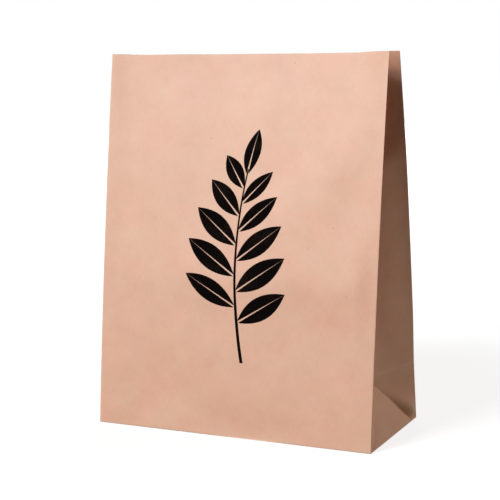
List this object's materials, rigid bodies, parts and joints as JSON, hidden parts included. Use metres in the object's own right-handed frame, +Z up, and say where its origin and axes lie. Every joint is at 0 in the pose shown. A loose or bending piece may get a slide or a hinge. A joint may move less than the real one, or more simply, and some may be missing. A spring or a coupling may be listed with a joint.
{
  "type": "paper lunch bag",
  "caption": "Brown kraft paper lunch bag standing open on its block bottom, with folded side gussets, a glued back seam and a straight-cut mouth.",
  "frame": {"origin": "middle of the bottom, on the surface the bag stands on", "axes": "+Z up to the mouth, -Y out of the front panel, X across the front panel"},
  "size_m": [0.22, 0.1, 0.2775],
  "materials": {
    "kraft_paper": "matte"
  },
  "bodies": {
    "root": {"paper_bag": "kraft_paper"}
  },
  "joints": []
}
